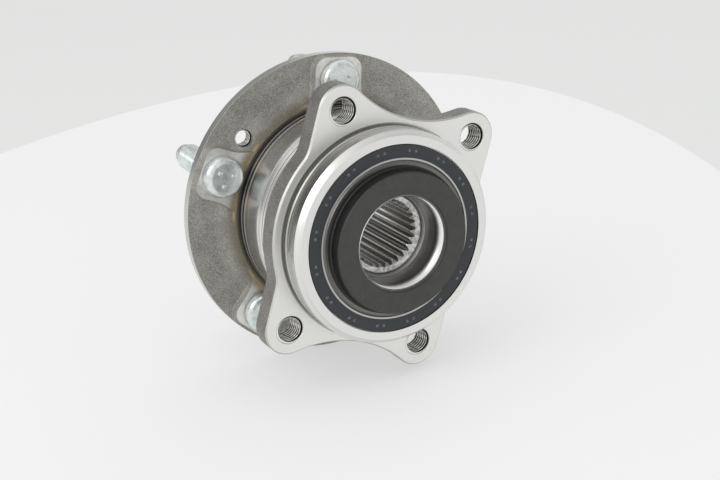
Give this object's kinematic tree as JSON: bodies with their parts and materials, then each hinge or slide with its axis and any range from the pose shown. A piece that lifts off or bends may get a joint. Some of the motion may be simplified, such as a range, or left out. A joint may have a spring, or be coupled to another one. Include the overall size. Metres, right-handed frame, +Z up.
{
  "type": "wheel hub",
  "caption": "Driven car wheel hub on a sealed double-row ball bearing, with a studded wheel flange, a splined bore and a knuckle flange with threaded ears.",
  "frame": {"origin": "centre of the wheel mounting face, on the hub's axis", "axes": "+Y along the hub's axis, out of the car towards the wheel; -Y towards the drive joint; +Z up, with the knuckle ears and studs turned as the picture shows them"},
  "size_m": [0.1372, 0.1073, 0.1372],
  "materials": {
    "forged_steel": "forged grain with turned and milled faces",
    "bearing_steel": "ground",
    "ball_steel": "polished",
    "zinc_plated_steel": "bluish zinc plate",
    "seal_steel": "pressed sheet",
    "seal_rubber": "matt",
    "magnetic_rubber": "satin",
    "cage_nylon": "glass-filled nylon"
  },
  "bodies": {
    "knuckle_side": {"outer_ring": "forged_steel", "outboard_seal_case": "seal_steel", "outboard_seal_lip": "seal_rubber", "inboard_seal_case": "seal_steel", "inboard_seal_lip": "seal_rubber"},
    "hub": {"hub_flange": "forged_steel", "inner_ring": "bearing_steel", "slinger": "seal_steel", "encoder_ring": "magnetic_rubber", "wheel_stud_1": "zinc_plated_steel", "wheel_stud_2": "zinc_plated_steel", "wheel_stud_3": "zinc_plated_steel", "wheel_stud_4": "zinc_plated_steel", "wheel_stud_5": "zinc_plated_steel"},
    "outboard_row": {"outboard_cage": "cage_nylon", "outboard_ball_01": "ball_steel", "outboard_ball_02": "ball_steel", "outboard_ball_03": "ball_steel", "outboard_ball_04": "ball_steel", "outboard_ball_05": "ball_steel", "outboard_ball_06": "ball_steel", "outboard_ball_07": "ball_steel", "outboard_ball_08": "ball_steel", "outboard_ball_09": "ball_steel", "outboard_ball_10": "ball_steel", "outboard_ball_11": "ball_steel", "outboard_ball_12": "ball_steel", "outboard_ball_13": "ball_steel", "outboard_ball_14": "ball_steel"},
    "inboard_row": {"inboard_cage": "cage_nylon", "inboard_ball_01": "ball_steel", "inboard_ball_02": "ball_steel", "inboard_ball_03": "ball_steel", "inboard_ball_04": "ball_steel", "inboard_ball_05": "ball_steel", "inboard_ball_06": "ball_steel", "inboard_ball_07": "ball_steel", "inboard_ball_08": "ball_steel", "inboard_ball_09": "ball_steel", "inboard_ball_10": "ball_steel", "inboard_ball_11": "ball_steel", "inboard_ball_12": "ball_steel", "inboard_ball_13": "ball_steel", "inboard_ball_14": "ball_steel"}
  },
  "joints": [
    {"name": "wheel_spin", "type": "hinge", "parent": "knuckle_side", "child": "hub", "pos_m": [0, 0, 0], "axis": [0, 1, 0], "continuous": true},
    {"name": "outboard_row_turn", "type": "hinge", "parent": "knuckle_side", "child": "outboard_row", "pos_m": [0, 0, 0], "axis": [0, 1, 0], "continuous": true},
    {"name": "inboard_row_turn", "type": "hinge", "parent": "knuckle_side", "child": "inboard_row", "pos_m": [0, 0, 0], "axis": [0, 1, 0], "continuous": true}
  ],
  "couplings": [
    {"joint": "outboard_row_turn", "follows": "wheel_spin", "ratio": 0.42332},
    {"joint": "inboard_row_turn", "follows": "wheel_spin", "ratio": 0.42332}
  ]
}
